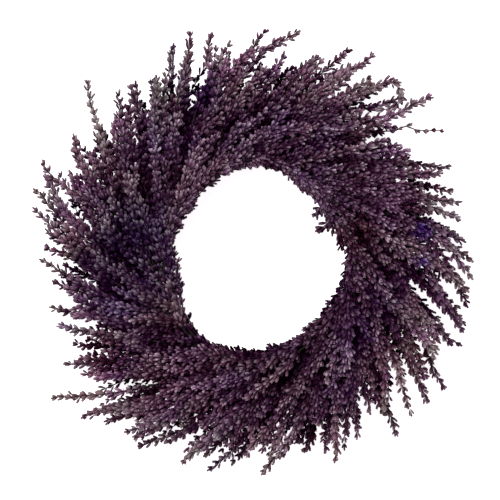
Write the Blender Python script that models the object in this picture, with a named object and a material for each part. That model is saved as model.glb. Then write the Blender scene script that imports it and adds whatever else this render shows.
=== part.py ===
"""Lavender wreath: bunches of dried lavender wired in a ring on a flat two-rail wire frame.

The wreath lies on its back. +Z comes out of its front, and seen from there the spikes
sweep clockwise and outwards. Lengths are in metres. Bearings are in degrees, clockwise
from +Y as on a clock face.
"""

import math
import random

import bmesh
import bpy
from mathutils import Vector

# The ring. The hole lies a little off the centre of the outer rim.
BUNCHES = 18
BUNCH_STEP = 360 / BUNCHES
RIM_CENTRE = Vector((0.001, -0.003, 0.0))
HOLE_CENTRE = Vector((0.004, -0.010, 0.0))
HOLE_RADIUS = 0.099
STEM_RADIUS = 0.128
HEAD_RADIUS = 0.192

# The sweep of the spikes: they cross the hole's edge at 28 degrees to the clockwise
# tangent and the heads' outer edge at 54 degrees
SWEEP_RATE = 3.4
SWEEP_INNER = 0.034

# The wire frame: two round rails, one lying inside the stems and one outside
RAIL_OFFSET = 0.014
RAIL_WIRE = 0.0016
RAIL_BOTTOM = 0.0015
RAIL_SEGMENTS = 36
RAIL_SIDES = 6
RAIL_HALF_HEIGHT = RAIL_WIRE * math.cos(math.pi / RAIL_SIDES)
CROSS_BARS = 6
BAR_WIRE = 0.0012

# The stem bundle of a bunch, which lies across both rails. Distances along it run
# clockwise from the back of the bunch's own head.
STEM_HALF_WIDTH = 0.013
STEM_HALF_HEIGHT = 0.009
STEM_LOBES = 4
STEM_GROOVE = 0.88
GAP = 0.0003
STEM_BOTTOM = RAIL_BOTTOM + 2 * RAIL_HALF_HEIGHT + GAP
STEM_REST = STEM_BOTTOM + STEM_HALF_HEIGHT
STEM_START = -0.035
STEM_BEND = 0.002

# Where the stems rise into the head: distance along, outwards from the stem circle, half
# width, height and half height
STEM_RISE = ((0.008, -0.004, 0.008, 0.027, 0.006), (0.013, -0.004, 0.006, 0.038, 0.005))

# The tie that binds the stem bundle to the rails
TIE_ALONG = -0.022
TIE_WIDTH = 0.005
TIE_THICKNESS = 0.0012
TIE_HALF_INSIDE = RAIL_OFFSET + RAIL_WIRE + 0.0008
TIE_SHOULDER = 0.0095
TIE_SHOULDER_HEIGHT = 0.013

# The head of a bunch: ridges of florets side by side, which follow the sweep
HEAD_RIDGES = 3
HEAD_WHORLS = 11
HEAD_GAP = 0.0009
HEAD_SLANT = 0.09
HEAD_EDGE = 0.041
HEAD_RISE = 0.026
RIDGE_HEIGHT = 0.0055
RIDGE_SHIFT = 0.012
RIM_SCALLOP = 0.003
TIP_SCALLOP = 0.008
RIDGE_SIZES = (0.8, 1.2)
FLORET_HEIGHT = 0.0045
FLORET_REACH = 0.006
FLORET_SIZES = (0.75, 1.1)
PROFILE_STEPS = 240

# The underside of the head: radius, height between ridges and height under a ridge
HEAD_UNDERSIDE = ((0.116, 0.0285, 0.0275), (0.146, 0.0290, 0.0240), (0.176, 0.0320, 0.0240))

# A spike of whorls, each whorl turned between the florets of the one before. Its florets
# open at a share of the pitch, and it thins from a share of its length to the tip.
WHORL_PITCH = 0.0130
WHORL_REACH = 0.0066
WHORL_STALK = 0.0026
WHORL_FLORETS = 3
WHORL_OPENING = 0.9
THINNING_START = 0.4
THINNING = 0.45

# Outer spikes: the radius where they root and where they leave the head, the part of the
# bunch's width that they keep to, and their heights at root and tip, in turn round the rim
ROOT_RADIUS = 0.176
EXIT_RADIUS = 0.200
EXIT_SHARES = (0.12, 0.74)
OUTER_BARE = 0.016
LEVELS = ((0.044, 0.046), (0.052, 0.074), (0.037, 0.020))

# Tips of the outer spikes: bearing, reach from the rim's centre in mm, and lean out of
# the clockwise tangent in degrees
OUTER_TIPS = (
    (3, 253, 55), (11, 253, 45), (17, 236, 60), (25, 254, 62), (31, 259, 66), (38, 246, 66),
    (43, 243, 70), (48, 266, 76), (57, 254, 66), (66, 244, 60), (72, 235, 58), (80, 233, 58),
    (85, 235, 55), (91, 245, 58), (99, 241, 58), (108, 253, 60),
    (114, 244, 62), (119, 232, 58), (125, 266, 64), (130, 257, 62), (135, 250, 62),
    (141, 263, 70), (150, 237, 62), (158, 247, 60), (164, 231, 56), (171, 229, 52),
    (177, 244, 48), (184, 230, 50), (191, 251, 45), (197, 234, 50), (204, 234, 54),
    (210, 256, 56), (215, 244, 56), (221, 253, 58), (226, 265, 58), (234, 274, 58),
    (239, 246, 58), (243, 226, 58), (249, 228, 56), (255, 237, 56), (262, 225, 55),
    (268, 235, 58), (276, 236, 60), (286, 260, 62), (293, 259, 58),
    (300, 238, 56), (307, 224, 56), (316, 268, 53), (320, 240, 55), (325, 232, 56),
    (331, 222, 58), (339, 258, 66), (344, 262, 70), (349, 248, 62), (353, 232, 60),
)

# Spikes on the front: share of the bunch's width, radius and height at root and tip
FRONT_SPIKES = (
    ((0.36, 0.116, 0.054), (0.36, 0.168, 0.086)),
    ((0.70, 0.136, 0.056), (0.66, 0.196, 0.080)),
)
FRONT_BARE = 0.030
SPREAD = (0.06, 0.004, 0.004)
SEED = 21


def on_ring(bearing, radius, height):
    """A point on one of the circles whose centres move from the hole's to the rim's."""
    share = (radius - HOLE_RADIUS) / (HEAD_RADIUS - HOLE_RADIUS)
    centre = HOLE_CENTRE.lerp(RIM_CENTRE, min(1, max(0, share)))
    turn = math.radians(bearing)
    return centre + Vector((radius * math.sin(turn), radius * math.cos(turn), height))


def sweep(radius):
    """The bearing that a spike has gained where it crosses this radius."""
    angle = math.log(1 - SWEEP_INNER / radius) - math.log(1 - SWEEP_INNER / STEM_RADIUS)
    return math.degrees(SWEEP_RATE * angle)


def in_head(number, share, radius, height):
    """A point of a head, with its share of the way clockwise across the bunch."""
    spread = SWEEP_RATE * SWEEP_INNER / (radius - SWEEP_INNER)
    width = math.radians(BUNCH_STEP) * radius / math.sqrt(1 + spread * spread)
    share = 0.5 + (share - 0.5) * (1 - HEAD_GAP / width)
    return on_ring((number + share) * BUNCH_STEP + sweep(radius), radius, height)


def by_stems(number, along, out, height):
    """A point by its distance along the stem circle and outwards from it."""
    bearing = number * BUNCH_STEP + math.degrees(along / STEM_RADIUS)
    return on_ring(bearing, STEM_RADIUS + out, height)


def join_rows(mesh, near, far, closed=True):
    count = len(near) if closed else len(near) - 1
    for i in range(count):
        j = (i + 1) % len(near)
        mesh.faces.new((near[i], near[j], far[j], far[i]))


def add_floret(mesh, corners, apex):
    top = mesh.verts.new(apex)
    for near, far in zip(corners, corners[1:] + corners[:1]):
        mesh.faces.new((near, far, top))


def loft(rings):
    """A closed tube through rings of points."""
    mesh = bmesh.new()
    rows = [[mesh.verts.new(point) for point in ring] for ring in rings]
    for near, far in zip(rows, rows[1:]):
        join_rows(mesh, near, far)
    mesh.faces.new(rows[0])
    mesh.faces.new(rows[-1])
    return mesh


def make_object(name, mesh, collection=None):
    bmesh.ops.recalc_face_normals(mesh, faces=mesh.faces)
    data = bpy.data.meshes.new(name)
    mesh.to_mesh(data)
    mesh.free()
    made = bpy.data.objects.new(name, data)
    (collection or bpy.context.scene.collection).objects.link(made)
    return made


def new_collection(name):
    made = bpy.data.collections.new(name)
    bpy.context.scene.collection.children.link(made)
    return made


def fuse(target, pieces):
    """One union of the target with every object of a collection, which is then removed."""
    union = target.modifiers.new("fuse", "BOOLEAN")
    union.operation = "UNION"
    union.operand_type = "COLLECTION"
    union.collection = pieces
    union.solver = "EXACT"
    graph = bpy.context.evaluated_depsgraph_get()
    solid = bpy.data.meshes.new_from_object(target.evaluated_get(graph))
    target.modifiers.clear()
    target.data = solid
    for piece in list(pieces.objects):
        bpy.data.objects.remove(piece)
    bpy.data.collections.remove(pieces)


def give_finish(target, name, colour, roughness, metallic):
    material = bpy.data.materials.new(name)
    material.use_nodes = True
    shader = material.node_tree.nodes["Principled BSDF"]
    shader.inputs["Base Color"].default_value = (*colour, 1.0)
    shader.inputs["Roughness"].default_value = roughness
    shader.inputs["Metallic"].default_value = metallic
    material.diffuse_color = (*colour, 1.0)
    target.data.materials.clear()
    target.data.materials.append(material)


def rail_mesh(radius):
    """A closed rail with a flat underside and a corner at the middle of every tie."""
    first = math.degrees(TIE_ALONG / STEM_RADIUS)
    centre = RAIL_BOTTOM + RAIL_HALF_HEIGHT
    mesh = bmesh.new()
    rows = []
    for i in range(RAIL_SEGMENTS):
        row = []
        for j in range(RAIL_SIDES):
            turn = 2 * math.pi * (j + 0.5) / RAIL_SIDES
            out, up = RAIL_WIRE * math.sin(turn), RAIL_WIRE * math.cos(turn)
            point = on_ring(first + 360 * i / RAIL_SEGMENTS, radius + out, centre + up)
            row.append(mesh.verts.new(point))
        rows.append(row)
    for i in range(RAIL_SEGMENTS):
        join_rows(mesh, rows[i - 1], rows[i])
    return mesh


def bar_mesh(bearing):
    """A cross bar welded between the rails, its ends inside them."""
    centre = RAIL_BOTTOM + RAIL_HALF_HEIGHT
    corner = BAR_WIRE * math.sqrt(0.5)
    rings = []
    for radius in (STEM_RADIUS - RAIL_OFFSET, STEM_RADIUS + RAIL_OFFSET):
        side = math.degrees(corner / radius)
        rings.append([
            on_ring(bearing + turn, radius, centre + up)
            for turn, up in ((-side, -corner), (side, -corner), (side, corner), (-side, corner))
        ])
    return loft(rings)


def make_wire_frame():
    frame = make_object("wire_frame", rail_mesh(STEM_RADIUS - RAIL_OFFSET))
    pieces = new_collection("frame pieces")
    make_object("outer rail", rail_mesh(STEM_RADIUS + RAIL_OFFSET), pieces)
    for i in range(CROSS_BARS):
        make_object("cross bar", bar_mesh(360 * i / CROSS_BARS), pieces)
    fuse(frame, pieces)
    give_finish(frame, "green wire", (0.03, 0.05, 0.03), 0.5, 0.6)


def make_tie(number):
    """A flat band round the stem bundle and both rails, closed into a ring."""
    wall = TIE_HALF_INSIDE
    top = STEM_BOTTOM + 2 * STEM_HALF_HEIGHT + GAP
    inner = (
        (-wall, TIE_THICKNESS), (wall, TIE_THICKNESS), (wall, TIE_SHOULDER_HEIGHT),
        (TIE_SHOULDER, top), (-TIE_SHOULDER, top), (-wall, TIE_SHOULDER_HEIGHT),
    )
    middle = (TIE_THICKNESS + top) / 2
    widen = 1 + TIE_THICKNESS / wall
    deepen = 1 + TIE_THICKNESS / (middle - TIE_THICKNESS)
    outer = [(out * widen, middle + (up - middle) * deepen) for out, up in inner]
    mesh = bmesh.new()
    rows = []
    for profile, along in (
        (inner, TIE_ALONG - TIE_WIDTH / 2), (outer, TIE_ALONG - TIE_WIDTH / 2),
        (outer, TIE_ALONG + TIE_WIDTH / 2), (inner, TIE_ALONG + TIE_WIDTH / 2),
    ):
        rows.append([mesh.verts.new(by_stems(number, along, *point)) for point in profile])
    for i in range(len(rows)):
        join_rows(mesh, rows[i - 1], rows[i])
    tie = make_object(f"tie_{number + 1:02d}", mesh)
    give_finish(tie, "binding wire", (0.10, 0.08, 0.05), 0.6, 0.3)


def stem_bundle_mesh(number):
    """The cut stems, grooved between stems, lying on the rails and rising into the head."""
    stations = (
        (STEM_START, 0, STEM_HALF_WIDTH, STEM_REST, STEM_HALF_HEIGHT),
        (STEM_BEND, 0, STEM_HALF_WIDTH, STEM_REST, STEM_HALF_HEIGHT),
        *STEM_RISE,
    )
    rings = []
    for along, out, half_width, height, half_height in stations:
        ring = []
        for i in range(2 * STEM_LOBES):
            turn = math.pi * i / STEM_LOBES
            size = 1 if i % 2 == 0 else STEM_GROOVE
            across, up = size * half_width * math.cos(turn), size * half_height * math.sin(turn)
            ring.append(by_stems(number, along, out + across, height + up))
        rings.append(ring)
    return loft(rings)


def head_stations():
    """Radius and height of the whorls of a ridge, evenly spaced from the hole outwards."""
    middle, half = (HEAD_RADIUS + HOLE_RADIUS) / 2, (HEAD_RADIUS - HOLE_RADIUS) / 2
    path = []
    for i in range(PROFILE_STEPS + 1):
        turn = math.pi * (1 - i / PROFILE_STEPS)
        path.append((middle + half * math.cos(turn), HEAD_EDGE + HEAD_RISE * math.sin(turn)))
    points = [in_head(0, 0, radius, height) for radius, height in path]
    travel = [0.0]
    for near, far in zip(points, points[1:]):
        travel.append(travel[-1] + (far - near).length)
    stations = []
    for i in range(HEAD_WHORLS + 1):
        wanted = travel[-1] * i / HEAD_WHORLS
        nearest = min(range(len(path)), key=lambda j: abs(travel[j] - wanted))
        stations.append(path[nearest])
    return stations


def close_side(mesh, upper, lower):
    """Triangles between two rows that share their first and last points."""
    i = j = 0
    while i < len(upper) - 1 or j < len(lower) - 1:
        if (i + 1) / (len(upper) - 1) <= (j + 1) / (len(lower) - 1):
            corners = (upper[i], upper[i + 1], lower[j])
            i += 1
        else:
            corners = (upper[i], lower[j + 1], lower[j])
            j += 1
        if len(set(corners)) == 3:
            mesh.faces.new(corners)


def head_mesh(number, draw):
    """Ridges of florets, with bare ridges under them, between sides that follow the sweep."""
    stations = head_stations()
    mesh = bmesh.new()
    uppers, lowers = [], []
    for row in range(2 * HEAD_RIDGES + 1):
        crest = row % 2
        share = row / (2 * HEAD_RIDGES) + crest * draw.uniform(-RIDGE_SHIFT, RIDGE_SHIFT)
        size = crest * draw.uniform(*RIDGE_SIZES)
        upper = []
        for i, (radius, height) in enumerate(stations):
            lift = size * RIDGE_HEIGHT * math.sin(math.pi * i / HEAD_WHORLS) ** 0.5
            if i == 0:
                radius -= size * RIM_SCALLOP
            if i == HEAD_WHORLS:
                radius += size * TIP_SCALLOP
            upper.append(mesh.verts.new(in_head(number, share, radius, height + lift)))
        lower = [upper[0]]
        for radius, *heights in HEAD_UNDERSIDE:
            point = in_head(number, share - HEAD_SLANT, radius, heights[crest])
            lower.append(mesh.verts.new(point))
        uppers.append(upper)
        lowers.append([*lower, upper[-1]])
    for near, far in zip(uppers, uppers[1:]):
        for i in range(HEAD_WHORLS):
            corners = [near[i], near[i + 1], far[i + 1], far[i]]
            places = [corner.co for corner in corners]
            centre = sum(places, Vector()) / 4
            forward = (places[1] + places[2] - places[0] - places[3]).normalized()
            across = (places[3] + places[2] - places[0] - places[1]).normalized()
            out = across.cross(forward).normalized()
            level = forward.cross(Vector((0, 0, 1))).normalized()
            out = (out - level * out.dot(level)).normalized()
            size = draw.uniform(*FLORET_SIZES)
            apex = centre + size * (out * FLORET_HEIGHT + forward * FLORET_REACH)
            add_floret(mesh, corners, apex)
    for near, far in zip(lowers, lowers[1:]):
        join_rows(mesh, near, far, closed=False)
    close_side(mesh, uppers[0], lowers[0])
    close_side(mesh, uppers[-1], lowers[-1])
    return mesh


def spike_mesh(start, tip, bare, turn):
    """A stalk with whorls of florets that open outwards and towards the tip."""
    axis = (tip - start).normalized()
    side = axis.orthogonal().normalized()
    other = axis.cross(side)
    length = (tip - start).length
    whorls = max(2, round((length - bare) / WHORL_PITCH - WHORL_OPENING))
    pitch = (length - bare) / (whorls + WHORL_OPENING)

    def fullness(part):
        return 1 - THINNING * max(0, part - THINNING_START) / (1 - THINNING_START)

    def spoke(corner):
        angle = turn + 2 * math.pi * corner / WHORL_FLORETS
        return side * math.cos(angle) + other * math.sin(angle)

    mesh = bmesh.new()
    rows = [[mesh.verts.new(start + WHORL_STALK * spoke(j)) for j in range(WHORL_FLORETS)]]
    for i in range(whorls + 1):
        centre = start + axis * (bare + i * pitch)
        radius = WHORL_STALK * fullness(i / whorls)
        ring = [centre + radius * spoke(j + i / 2) for j in range(WHORL_FLORETS)]
        rows.append([mesh.verts.new(point) for point in ring])
    mesh.faces.new(rows[0])
    join_rows(mesh, rows[0], rows[1])
    for i in range(whorls):
        near, far = rows[i + 1], rows[i + 2]
        centre = start + axis * (bare + (i + WHORL_OPENING) * pitch)
        reach = WHORL_REACH * fullness((i + 0.5) / whorls)
        for j in range(WHORL_FLORETS):
            k = (j + 1) % WHORL_FLORETS
            apex = centre + reach * spoke(j + i / 2 + 0.75)
            add_floret(mesh, [near[j], near[k], far[k], far[j]], apex)
    add_floret(mesh, rows[-1], tip)
    return mesh


def outer_spikes():
    """The outer spikes as (bunch, start, tip), each with the bunch whose head it leaves."""
    for i, (bearing, reach, lean) in enumerate(OUTER_TIPS):
        radius = reach / 1000
        forward = (radius - EXIT_RADIUS) / math.tan(math.radians(lean))
        exit_bearing = bearing - math.degrees(2 * forward / (radius + EXIT_RADIUS))
        place = (exit_bearing - sweep(EXIT_RADIUS)) / BUNCH_STEP
        number = math.floor(place)
        share = min(EXIT_SHARES[1], max(EXIT_SHARES[0], place - number))
        low, high = LEVELS[i % len(LEVELS)]
        start = in_head(number, share, ROOT_RADIUS, low)
        yield number % BUNCHES, start, on_ring(bearing, radius, high)


def make_bunch(number, outer):
    draw = random.Random(SEED + number)
    name = f"lavender_bunch_{number + 1:02d}"
    bunch = make_object(name, head_mesh(number, draw))
    pieces = new_collection(name + " pieces")
    make_object("stems", stem_bundle_mesh(number), pieces)
    for start, tip in outer:
        mesh = spike_mesh(start, tip, OUTER_BARE, draw.uniform(0, math.pi))
        make_object("outer spike", mesh, pieces)
    for start, tip in FRONT_SPIKES:
        moved = [value + draw.uniform(-room, room) for value, room in zip(tip, SPREAD)]
        ends = in_head(number, *start), in_head(number, *moved)
        mesh = spike_mesh(*ends, FRONT_BARE, draw.uniform(0, math.pi))
        make_object("front spike", mesh, pieces)
    fuse(bunch, pieces)
    plum = (0.045, 0.018, 0.036)
    shade = 0.8 + 0.4 * draw.random()
    give_finish(bunch, "dried lavender", [shade * value for value in plum], 0.85, 0.0)


def main():
    for old in list(bpy.data.objects):
        bpy.data.objects.remove(old)
    make_wire_frame()
    outer = [[] for _ in range(BUNCHES)]
    for number, start, tip in outer_spikes():
        outer[number].append((start, tip))
    for number in range(BUNCHES):
        make_tie(number)
        make_bunch(number, outer[number])


main()
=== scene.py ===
# Lavender wreath. Finer bunches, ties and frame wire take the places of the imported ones.
import math
import random

import bpy
import numpy as np
from mathutils import Matrix, Vector, noise


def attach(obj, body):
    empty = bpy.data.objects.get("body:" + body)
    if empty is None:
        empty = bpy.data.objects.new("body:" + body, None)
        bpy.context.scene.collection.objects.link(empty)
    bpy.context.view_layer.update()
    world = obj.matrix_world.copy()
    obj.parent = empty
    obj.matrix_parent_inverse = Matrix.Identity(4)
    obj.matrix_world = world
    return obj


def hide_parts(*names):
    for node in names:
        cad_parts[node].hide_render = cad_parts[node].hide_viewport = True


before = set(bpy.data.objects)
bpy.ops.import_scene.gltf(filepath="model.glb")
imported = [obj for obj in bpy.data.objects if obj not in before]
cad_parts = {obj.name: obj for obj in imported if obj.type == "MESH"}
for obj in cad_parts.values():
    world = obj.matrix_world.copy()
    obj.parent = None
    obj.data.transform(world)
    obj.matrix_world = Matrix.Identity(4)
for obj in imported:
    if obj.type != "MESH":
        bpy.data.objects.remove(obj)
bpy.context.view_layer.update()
print("packed frame loaded")

draw = random.Random(11)
noise.seed_set(11)  # the clock seeds it otherwise

# The ring, as it is packed. Bearings are in degrees, clockwise from +Y.
ring = {
    "bunches": 18,
    "rimCentre": Vector((0.001, -0.003, 0.0)),
    "holeCentre": Vector((0.004, -0.010, 0.0)),
    "holeRadius": 0.099,
    "stemRadius": 0.128,
    "headRadius": 0.192,
    "sweepRate": 3.4,
    "sweepInner": 0.034,
    "railHeight": 0.002886,
    "railOffset": 0.014,
}
bunchStep = 360 / ring["bunches"]


def onRing(bearing, radius, height):  # on circles whose centres move from the hole's to the rim's
    share = (radius - ring["holeRadius"]) / (ring["headRadius"] - ring["holeRadius"])
    centre = ring["holeCentre"].lerp(ring["rimCentre"], min(1, max(0, share)))
    turn = math.radians(bearing)
    return centre + Vector((radius * math.sin(turn), radius * math.cos(turn), height))


def sweepAt(radius):  # bearing that the swept spikes have gained at this radius
    near = math.log(1 - ring["sweepInner"] / ring["stemRadius"])
    return math.degrees(ring["sweepRate"] * (math.log(1 - ring["sweepInner"] / radius) - near))


def leanAt(radius):  # angle of the sweep out of the clockwise tangent, in degrees
    steepness = (radius - ring["sweepInner"]) / (ring["sweepRate"] * ring["sweepInner"])
    return math.degrees(math.atan(steepness))


def byStems(number, along, out, height):  # a place beside the middle of a bunch's stems
    bearing = number * bunchStep + math.degrees(along / ring["stemRadius"])
    return onRing(bearing, ring["stemRadius"] + out, height)


# Helpers for modelling


def setMode(mode):
    bpy.ops.object.mode_set(mode=mode)


def smoothUnder(degrees):  # edges sharper than this stay sharp
    bpy.ops.object.shade_smooth_by_angle(angle=math.radians(degrees))


def makeActive(piece):  # and the only one selected
    if bpy.context.object and bpy.context.object.mode != "OBJECT":
        setMode("OBJECT")
    bpy.ops.object.select_all(action="DESELECT")
    piece.select_set(True)
    bpy.context.view_layer.objects.active = piece


def editFaces(piece, wanted=lambda face: True):  # into edit mode with these faces selected
    makeActive(piece)
    setMode("EDIT")
    bpy.ops.mesh.select_mode(type="FACE")
    bpy.ops.mesh.select_all(action="DESELECT")
    setMode("OBJECT")
    for face in piece.data.polygons:
        face.select = wanted(face)
    setMode("EDIT")


def addObject(name, data):
    item = bpy.data.objects.new(name, data)
    bpy.context.scene.collection.objects.link(item)
    return item


def placeCopy(model, matrix):  # a copy with its own mesh, already in place
    copy = addObject(model.name, model.data.copy())
    copy.data.transform(matrix)
    return copy


def joinPieces(name, pieces):
    makeActive(pieces[0])
    for piece in pieces[1:]:
        piece.select_set(True)
    bpy.ops.object.join()
    joined = bpy.context.object
    joined.name = joined.data.name = name
    bpy.ops.object.transform_apply(location=True, rotation=True, scale=True)
    return joined


def setFloats(mesh, name, values):
    attribute = mesh.attributes.new(name, "FLOAT", "POINT")
    attribute.data.foreach_set("value", np.asarray(values, np.float32))


def setColours(mesh, colours):
    attribute = mesh.attributes.new("dried", "FLOAT_COLOR", "POINT")
    rgba = np.ones((len(mesh.vertices), 4), np.float32)
    rgba[:, :3] = colours
    attribute.data.foreach_set("color", rgba.ravel())


def readAll(items, name, size=1, kind=np.float32):  # one number or vector of each item, in a row
    values = np.zeros(len(items) * size, kind)
    items.foreach_get(name, values)
    return values


def readFloats(mesh, name):
    return readAll(mesh.attributes[name].data, "value")


def readVertices(mesh):  # the vertex of each corner
    return readAll(mesh.loops, "vertex_index", kind=np.int32)


def readMap(mesh):  # the corners' places on the baking map
    return readAll(mesh.uv_layers["OFBake"].uv, "vector", 2).reshape(-1, 2)


def writeMap(mesh, spot):
    mesh.uv_layers["OFBake"].uv.foreach_set("vector", spot.astype(np.float32).ravel())


def roundLine(points, cuts):  # a rounder line through the same points
    rounded = []
    for i in range(len(points) - 1):
        before, near, far, after = (
            points[min(max(i + k, 0), len(points) - 1)] for k in (-1, 0, 1, 2)
        )
        for cut in range(cuts):
            t = cut / cuts
            slope = far - before
            bend = 2 * before - 5 * near + 4 * far - after
            turn = 3 * near - before - 3 * far + after
            rounded.append(0.5 * (2 * near + slope * t + bend * t * t + turn * t ** 3))
    return rounded + [points[-1]]


wires = {
    "merge": 0.00001,  # points closer than this become one
    "roundEdge": 75,  # edges sharper than this, in degrees, stay sharp
    "squareEdge": 100,
    "sideFrom": (0.04, 0.08),  # where a wire's side lies on its strip of the baking map
    "sideSize": (0.92, 0.84),
    "endsAt": (0.015, 0.985),  # and its two cut ends
    "endSize": (0.012, 0.4),
}


def mapWires(mesh, lines, sides, columns):  # gives each wire a strip of the baking map
    vertex = readVertices(mesh)
    mesh.uv_layers[0].name = "OFBake"
    spot = readMap(mesh)
    capped = 2 * sides * len(lines)  # the ends come first, from the last wire to the first
    firsts = capped + sides * np.cumsum([0] + [len(points) for points in lines])
    isEnd = vertex < capped
    endOwner = len(lines) - 1 - vertex // (2 * sides)
    owner = np.where(isEnd, endOwner, np.searchsorted(firsts, vertex, "right") - 1)
    isStart = vertex % (2 * sides) >= sides
    turn = 2 * np.pi * (vertex % sides) / sides
    endLong, endWide = wires["endSize"]
    endAlong = np.where(isStart, *wires["endsAt"]) + endLong * np.cos(turn)
    side = [wires["sideFrom"][k] + wires["sideSize"][k] * spot[:, k] for k in (0, 1)]
    along = np.where(isEnd, endAlong, side[0])
    across = np.where(isEnd, 0.5 + endWide * np.sin(turn), side[1])
    rows = math.ceil(len(lines) / columns)
    spot[:, 0] = (owner % columns + along) / columns
    spot[:, 1] = (owner // columns + across) / rows
    writeMap(mesh, spot)
    return isEnd & isStart


def wireMesh(name, lines, radius, sides, material, endMaterial=None, columns=1):  # closed wires
    curve = bpy.data.curves.new(name, "CURVE")
    curve.dimensions = "3D"
    curve.bevel_depth = radius
    curve.bevel_resolution = (sides - 4) // 2
    curve.use_fill_caps = True
    for points in lines:
        spline = curve.splines.new("POLY")
        spline.points.add(len(points) - 1)
        for spot, (place, thickness) in zip(spline.points, points):
            spot.co = (*place, 1)
            spot.radius = thickness
    makeActive(addObject(name, curve))
    bpy.ops.object.convert(target="MESH")
    wire = bpy.context.object
    isStart = mapWires(wire.data, lines, sides, columns)
    wire.data.materials.clear()
    wire.data.materials.append(material)
    if endMaterial:
        wire.data.materials.append(endMaterial)
        for face in wire.data.polygons:
            face.material_index = int(isStart[face.loop_start])
    editFaces(wire)
    bpy.ops.mesh.remove_doubles(threshold=wires["merge"])
    setMode("OBJECT")
    smoothUnder(wires["roundEdge"] if sides > 4 else wires["squareEdge"])
    return wire


def moveMap(mesh, low, high):  # fits a piece's part of the baking map into this rectangle
    low, high = np.array(low), np.array(high)
    writeMap(mesh, low + readMap(mesh) * (high - low))


# Materials


def setInputs(node, values):
    for name, value in values.items():
        node.inputs[name].default_value = value


def newMaterial(name, look):
    material = bpy.data.materials.new(name)
    material.use_nodes = True
    shader = material.node_tree.nodes["Principled BSDF"]
    setInputs(shader, {"Roughness": look["roughness"], "Specular IOR Level": look["gloss"]})
    return material, material.node_tree, shader


def addNoise(tree, scale, detail=3.0):
    place = tree.nodes.new("ShaderNodeTexCoord").outputs["Object"]
    texture = tree.nodes.new("ShaderNodeTexNoise")
    setInputs(texture, {"Scale": scale, "Detail": detail})
    tree.links.new(place, texture.inputs["Vector"])
    return texture.outputs["Fac"]


def addRange(tree, value, low, high, fromLow=0.3, fromHigh=0.7):
    spread = tree.nodes.new("ShaderNodeMapRange")
    for socket, number in zip(spread.inputs[1:5], (fromLow, fromHigh, low, high)):
        socket.default_value = number
    tree.links.new(value, spread.inputs["Value"])
    return spread.outputs["Result"]


def addGrain(tree, scale, low, high):
    return addRange(tree, addNoise(tree, scale), low, high)


def addBump(tree, shader, height, distance):
    bump = tree.nodes.new("ShaderNodeBump")
    bump.inputs["Distance"].default_value = distance
    tree.links.new(height, bump.inputs["Height"])
    tree.links.new(bump.outputs["Normal"], shader.inputs["Normal"])


def addMix(tree, share, first, second, blend="MIX"):  # first and second are sockets or colours
    mix = tree.nodes.new("ShaderNodeMix")
    mix.data_type = "RGBA"
    mix.blend_type = blend
    for socket, value in ((mix.inputs[0], share), (mix.inputs[6], first), (mix.inputs[7], second)):
        if isinstance(value, bpy.types.NodeSocket):
            tree.links.new(value, socket)
        elif isinstance(value, float):
            socket.default_value = value
        else:
            socket.default_value = (*value, 1.0)
    return mix.outputs[2]


# "mixed" is the scale and detail of a noise, and the range of it that blends the two colours.
# "speckle" and "dulled" are a scale, lowest and highest, and "bump" a scale, detail and height.
finishes = {
    "driedCalyx": {  # fuzzy, in the colour painted on each calyx, painted light and shade included
        "roughness": 0.78,
        "gloss": 0.0,
        "speckle": (900.0, 0.62, 1.35),
        "bump": (5200.0, 2.0, 0.00018),
    },
    "driedStem": {
        "roughness": 0.7,
        "gloss": 0.2,
        "colours": ((0.024, 0.012, 0.016), (0.018, 0.016, 0.011)),  # brown and green
        "mixed": (160.0, 3.0, 0.3, 0.7),
        "speckle": (2600.0, 0.6, 1.5),
        "bump": (3200.0, 3.0, 0.0002),
    },
    "shadedHeart": {  # a mass of florets, painted near black as shade
        "roughness": 0.95,
        "gloss": 0.05,
        "colours": ((0.008, 0.001, 0.006), (0.040, 0.009, 0.032)),
        "mixed": (230.0, 5.0, 0.42, 0.66),
        "bump": (260.0, 3.0, 0.004),
    },
    "cutStemEnd": {
        "roughness": 0.85,
        "gloss": 0.5,
        "colour": (0.38, 0.30, 0.18),
        "speckle": (1800.0, 0.6, 1.2),
    },
    "bindingWire": {  # lacquered florist's wire, rubbed bright in places
        "roughness": 0.4,
        "gloss": 0.5,
        "colours": ((0.018, 0.030, 0.016), (0.115, 0.105, 0.085)),
        "mixed": (700.0, 3.0, 0.56, 0.66),
        "metal": True,
        "dulled": (1500.0, 0.3, 0.55),
    },
    "greenLacquer": {
        "roughness": 0.42,
        "gloss": 0.5,
        "colours": ((0.015, 0.040, 0.018), (0.035, 0.060, 0.032)),
        "mixed": (350.0, 3.0, 0.3, 0.7),
        "dulled": (600.0, 0.3, 0.55),
        "bump": (1400.0, 3.0, 0.0001),
    },
}
bundleColours = ((0.115, 0.078, 0.042), (0.080, 0.086, 0.042))
finishes["bundleStem"] = {**finishes["driedStem"], "colours": bundleColours}


def makeFinish(name):
    look = finishes[name]
    material, tree, shader = newMaterial(name, look)
    if "colours" in look:
        scale, detail, start, end = look["mixed"]
        mixed = addRange(tree, addNoise(tree, scale, detail), 0.0, 1.0, start, end)
        colour = addMix(tree, mixed, *look["colours"])
        if "metal" in look:
            tree.links.new(mixed, shader.inputs["Metallic"])
    elif "colour" in look:
        colour = look["colour"]
    else:
        paint = tree.nodes.new("ShaderNodeAttribute")
        paint.attribute_name = "dried"
        colour = paint.outputs["Color"]
    if "speckle" in look:
        colour = addMix(tree, 1.0, colour, addGrain(tree, *look["speckle"]), "MULTIPLY")
    tree.links.new(colour, shader.inputs["Base Color"])
    if "dulled" in look:
        tree.links.new(addGrain(tree, *look["dulled"]), shader.inputs["Roughness"])
    if "bump" in look:
        scale, detail, height = look["bump"]
        addBump(tree, shader, addNoise(tree, scale, detail), height)
    return material


finish = {name: makeFinish(name) for name in finishes}
print("materials made")

# One calyx, and the whorls that are made of it

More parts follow.
